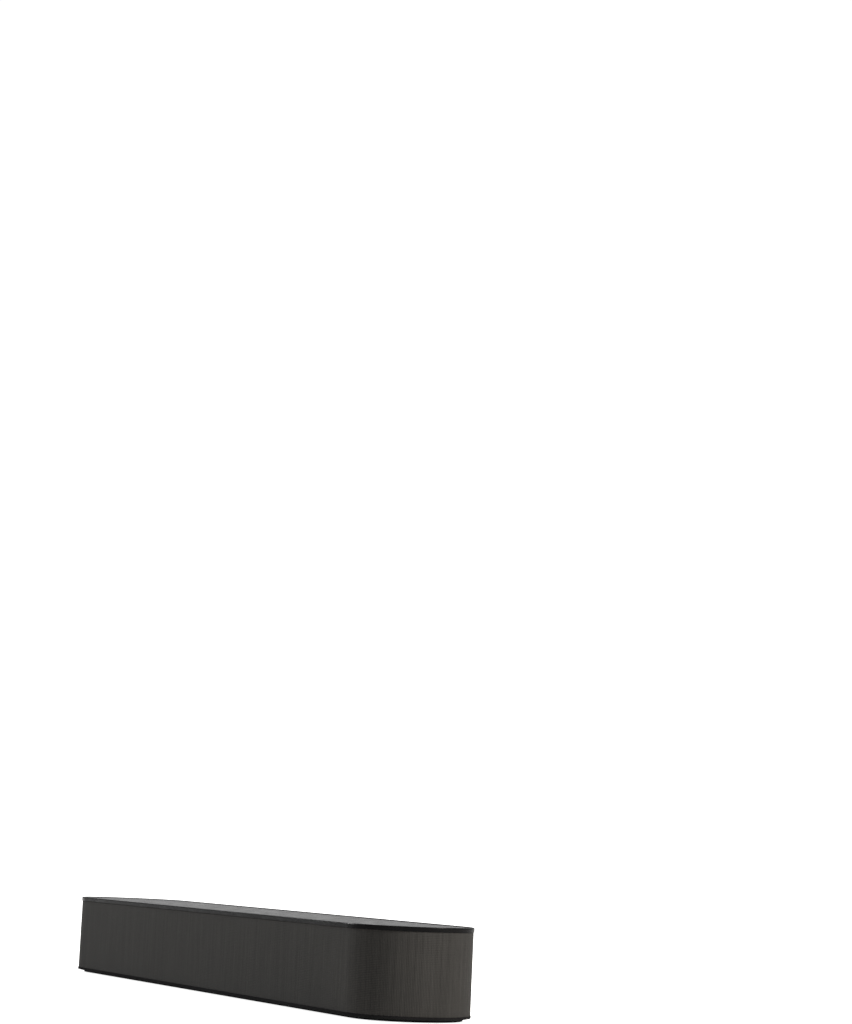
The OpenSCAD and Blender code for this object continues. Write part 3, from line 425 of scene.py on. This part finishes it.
def wrap_outline():
    """The cloth's outline from above, as (x, y, distance round the bar), from the back's middle."""
    straight_x = HALF_LENGTH - CORNER_R
    straight_y = HALF_DEPTH - CORNER_R
    seam_x = 0.0
    points = []

    def run(start, end):
        count = max(1, round((end - start).length / STEP_LONG))
        points.extend(start.lerp(end, i / count) for i in range(count))

    def turn(centre, first):
        angles = [first + i * pi / 2 / CORNER_STEPS for i in range(CORNER_STEPS)]
        points.extend(centre + CORNER_R * Vector((cos(angle), sin(angle))) for angle in angles)

    back, front = HALF_DEPTH, -HALF_DEPTH
    run(Vector((seam_x, back)), Vector((-straight_x, back)))
    turn(Vector((-straight_x, straight_y)), pi / 2)
    run(Vector((-HALF_LENGTH, straight_y)), Vector((-HALF_LENGTH, -straight_y)))
    turn(Vector((-straight_x, -straight_y)), pi)
    run(Vector((-straight_x, front)), Vector((straight_x, front)))
    turn(Vector((straight_x, -straight_y)), 3 * pi / 2)
    run(Vector((HALF_LENGTH, -straight_y)), Vector((HALF_LENGTH, straight_y)))
    turn(Vector((straight_x, straight_y)), 0.0)
    run(Vector((straight_x, back)), Vector((seam_x, back)))
    points.append(Vector((seam_x, back)))
    distance, rows = 0.0, []
    for i, point in enumerate(points):
        if i:
            distance += (point - points[i - 1]).length
        rows.append((point.x, point.y, distance))
    return rows


def window_point(share):
    """A point of the window's edge at a share of the way round, from the middle of its lower side."""
    w, h, r = WINDOW_HALF_W, WINDOW_HALF_H, WINDOW_R
    sides = [(w - r, "line", (0, -h), (1, 0)), (r * pi / 2, "arc", (w - r, -h + r), -pi / 2),
             (2 * (h - r), "line", (w, -h + r), (0, 1)), (r * pi / 2, "arc", (w - r, h - r), 0.0),
             (2 * (w - r), "line", (w - r, h), (-1, 0)), (r * pi / 2, "arc", (-w + r, h - r), pi / 2),
             (2 * (h - r), "line", (-w, h - r), (0, -1)), (r * pi / 2, "arc", (-w + r, -h + r), pi),
             (w - r, "line", (-w + r, -h), (1, 0))]
    left = share * sum(side[0] for side in sides)
    for length, kind, origin, way in sides:
        if left <= length:
            break
        left -= length
    if kind == "line":
        return origin[0] + way[0] * left, origin[1] + way[1] * left
    angle = way + left / r
    return origin[0] + r * cos(angle), origin[1] + r * sin(angle)


def cloth_wrap():
    """The cloth as one sheet without thickness. Its ends meet at the seam, and the window is open."""
    outline = wrap_outline()
    rows = WRAP_ROWS
    vertices, uvs, faces = [], [], []
    for row in range(rows + 1):
        z = WRAP_BOTTOM + (WRAP_TOP - WRAP_BOTTOM) * row / rows
        for x, y, distance in outline:
            vertices.append(Vector((x, y, z)))
            uvs.append((distance / MM, z / MM))
    columns = len(outline)
    patch_rows = (1, rows - 1)

    def in_patch(column, row):
        x0, y0, _ = outline[column]
        x1, _, _ = outline[column + 1]
        flat_back = y0 > HALF_DEPTH - NEAR
        beside = max(abs(x0), abs(x1)) < PATCH_HALF + NEAR
        return flat_back and beside and patch_rows[0] <= row < patch_rows[1]

    for row in range(rows):
        for column in range(columns - 1):
            if not in_patch(column, row):
                a = row * columns + column
                faces.append((a, a + 1, a + columns + 1, a + columns))
    inside = [c for c in range(columns)
              if outline[c][1] > HALF_DEPTH - NEAR and abs(outline[c][0]) < PATCH_HALF + NEAR]
    left_run = [c for c in inside if c < columns // 2]
    right_run = [c for c in inside if c >= columns // 2]
    for run, side in ((left_run, -1), (right_run, 1)):
        fill_half_patch(vertices, uvs, faces, outline, columns, run, patch_rows, side)
    piece = mesh_object("cloth_wrap", vertices, faces)
    layer = piece.data.uv_layers.new(name="cloth")
    for loop in piece.data.loops:
        layer.data[loop.index].uv = uvs[loop.vertex_index]
    return piece


def fill_half_patch(vertices, uvs, faces, outline, columns, run, patch_rows, side):
    """Fills one half of the back, between the patch's edge and the window's half outline."""
    low, high = patch_rows
    # the border, from the seam's lower end: out along the bottom, up the far side and back on top
    outward = run if abs(outline[run[0]][0]) < abs(outline[run[-1]][0]) else run[::-1]
    border = [low * columns + c for c in outward]
    border += [row * columns + outward[-1] for row in range(low + 1, high + 1)]
    border += [high * columns + c for c in outward[-2::-1]]
    count = len(border)
    shares = half_window_shares(vertices, border)
    made = [border]
    for ring in range(1, PATCH_RINGS + 1):
        blend = ring / PATCH_RINGS
        indices = []
        for i in range(count):
            x, z = window_point(shares[i])
            start = vertices[border[i]]
            end = Vector((side * x, start.y, WINDOW_Z + z))
            start_uv = Vector(uvs[border[i]])
            end_uv = Vector((start_uv.x + (start.x - end.x) / MM, end.z / MM))
            vertices.append(start.lerp(end, blend))
            uvs.append(tuple(start_uv.lerp(end_uv, blend)))
            indices.append(len(vertices) - 1)
        made.append(indices)
    for outer, inner in zip(made, made[1:]):
        for i in range(count - 1):
            quad = (outer[i], outer[i + 1], inner[i + 1], inner[i])
            faces.append(quad if side > 0 else quad[::-1])


def half_window_shares(vertices, border):
    """Where each border point's partner lies on the window's half outline, matched side by side."""
    shares = []
    outline_length = 4 * (WINDOW_HALF_W + WINDOW_HALF_H) - (8 - 2 * pi) * WINDOW_R
    lower = WINDOW_HALF_W - WINDOW_R * (1 - pi / 4)
    upright = 2 * WINDOW_HALF_H - WINDOW_R * (2 - pi / 2)
    far = max(abs(vertices[i].x) for i in border)
    low_z = min(vertices[i].z for i in border)
    high_z = max(vertices[i].z for i in border)
    for i in border:
        point = vertices[i]
        if abs(point.z - low_z) < NEAR and abs(point.x) < far - NEAR:
            along = abs(point.x) / far * lower
        elif abs(abs(point.x) - far) < NEAR:
            along = lower + (point.z - low_z) / (high_z - low_z) * upright
        else:
            along = lower + upright + (1 - abs(point.x) / far) * lower
        shares.append(along / outline_length)
    return shares


def dress_wrap():
    """Gives the wrap its thickness, rolled edges and cloth, and puts it in place of the CAD wrap."""
    wrap = cloth_wrap()
    welding = bmesh.new()
    welding.from_mesh(wrap.data)
    bmesh.ops.recalc_face_normals(welding, faces=welding.faces)
    welding.to_mesh(wrap.data)
    welding.free()
    thickness = wrap.modifiers.new("thickness", "SOLIDIFY")
    thickness.thickness = CLOTH_T
    thickness.offset = -1.0
    thickness.use_even_offset = True
    rolled = wrap.modifiers.new("rolled edges", "BEVEL")
    rolled.width = CLOTH_EDGE_R
    rolled.segments = 3
    rolled.limit_method = "ANGLE"
    rolled.angle_limit = radians(40)
    bake_modifiers(wrap)
    wrap.data.materials.clear()
    wrap.data.materials.append(woven_wrap("wrap_cloth"))
    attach(wrap, "chassis")
    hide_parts("fabric_wrap")


dress_wrap()


# ---------------------------------------------------------------- the network socket's contacts

CONTACTS = 8
CONTACT_PITCH = 1.02 * MM
CONTACT_W = 0.4 * MM
CONTACT_T = 0.25 * MM
JACKET = 1.6 * MM
# depth into the mouth and height over its sill, in millimetres
CONTACT_PATH = ((3.2, 0.2), (4.0, 0.7), (9.5, 2.9), (11.0, 3.1), (13.6, 2.9))


def network_contacts():
    """Eight sprung wires that rise from the mouth's floor towards the back of the socket."""
    low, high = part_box("ethernet_socket")
    mid_x = (low.x + high.x) / 2
    sill = low.z + JACKET
    path = [(high.y - depth * MM, sill + rise * MM) for depth, rise in CONTACT_PATH]
    vertices, faces = [], []
    for i in range(CONTACTS):
        x = mid_x + (i - (CONTACTS - 1) / 2) * CONTACT_PITCH
        first = len(vertices)
        for y, z in path:
            for dx, dz in ((-1, -1), (1, -1), (1, 1), (-1, 1)):
                vertices.append((x + dx * CONTACT_W / 2, y, z + dz * CONTACT_T / 2))
        for k in range(len(path) - 1):
            a = first + 4 * k
            faces += [(a + j, a + (j + 1) % 4, a + 4 + (j + 1) % 4, a + 4 + j) for j in range(4)]
        end = first + 4 * (len(path) - 1)
        faces += [(first + 3, first + 2, first + 1, first), (end, end + 1, end + 2, end + 3)]
    piece = mesh_object("network_contacts", vertices, faces, smooth=False)
    piece.data.materials.append(brushed_metal("contact_gold", (0.83, 0.62, 0.28),
                                              roughness=0.22, stretch=(5, 0.3, 5), plated=True))
    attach(piece, "chassis")


network_contacts()


# ---------------------------------------------------------------- floor, light and camera

def floor():
    half = 9.0
    bounce_glow, seen_glow = 0.32, 1.05
    piece = mesh_object("floor", [(-half, -half, 0), (half, -half, 0), (half, half, 0), (-half, half, 0)],
                        [(0, 1, 2, 3)], smooth=False)
    g = Graph("floor_paper")
    mottle = g.noise(g.place(), 0.004, 3.0)
    tone = g.mix(g.range(mottle, 0.3, 0.7, 0.0, 1.0), (0.86, 0.86, 0.86), (0.88, 0.88, 0.88))
    g.wire(tone, g.shader.inputs["Emission Color"])
    seen = g.node("ShaderNodeLightPath").outputs["Is Camera Ray"]
    g.wire(g.range(seen, 0.0, 1.0, bounce_glow, seen_glow), g.shader.inputs["Emission Strength"])
    piece.data.materials.append(g.finish(tone, 0.9, Specular_IOR_Level=0.2))


def softbox(name, place, aim, size, power, colour=(1, 1, 1)):
    light = bpy.data.lights.new(name, "AREA")
    light.shape = "RECTANGLE"
    light.size, light.size_y = size
    light.energy = power
    light.color = colour
    lamp = bpy.data.objects.new(name, light)
    lamp.location = place
    lamp.visible_camera = False
    lamp.rotation_euler = (Vector(aim) - Vector(place)).to_track_quat("-Z", "Y").to_euler()
    bpy.context.scene.collection.objects.link(lamp)


def studio():
    """A white sweep to the camera, and a dimmer, even surround for the light."""
    dim, bright = 0.22, 1.05
    world = bpy.data.worlds.new("studio")
    bpy.context.scene.world = world
    world.use_nodes = True
    tree = world.node_tree
    surround = tree.nodes["Background"]
    surround.inputs["Color"].default_value = (1, 1, 1, 1)
    surround.inputs["Strength"].default_value = dim
    white = tree.nodes.new("ShaderNodeBackground")
    white.inputs["Color"].default_value = (1, 1, 1, 1)
    white.inputs["Strength"].default_value = bright
    either = tree.nodes.new("ShaderNodeMixShader")
    rays = tree.nodes.new("ShaderNodeLightPath")
    tree.links.new(rays.outputs["Is Camera Ray"], either.inputs[0])
    tree.links.new(surround.outputs[0], either.inputs[1])
    tree.links.new(white.outputs[0], either.inputs[2])
    tree.links.new(either.outputs[0], tree.nodes["World Output"].inputs["Surface"])
    softbox("overhead", place=(0.0, 0.4, 2.6), aim=(0.0, 0.0, 0.0),
            size=(3.4, 3.0), power=12)
    softbox("left", place=(-5.92, -3.15, 3.52), aim=(0.0, 0.0, 0.05),
            size=(1.9, 1.9), power=481)
    softbox("right", place=(2.52, 1.63, 1.7), aim=(0.2, 0.0, 0.05),
            size=(0.9, 0.9), power=166, colour=(1.0, 0.945, 0.89))
    softbox("back", place=(-2.73, 1.25, 0.75), aim=(0.0, 0.0, 0.05),
            size=(3.0, 1.4), power=5)
    view = bpy.context.scene.view_settings
    view.view_transform = "Standard"
    view.look = "None"


def camera():
    """A low viewpoint to the right of the bar, with the bar at the foot of the frame."""
    place = (1.93721, -0.86456, 0.11637)
    tilt, roll, heading = 97.9934, -2.5638, 62.1373
    lens = bpy.data.cameras.new("camera")
    lens.lens = 87.392
    lens.sensor_width = 36.0
    lens.clip_end = 60.0
    made = bpy.data.objects.new("camera", lens)
    made.location = place
    made.rotation_euler = (radians(tilt), radians(roll), radians(heading))
    bpy.context.scene.collection.objects.link(made)
    bpy.context.scene.camera = made


floor()
studio()
camera()
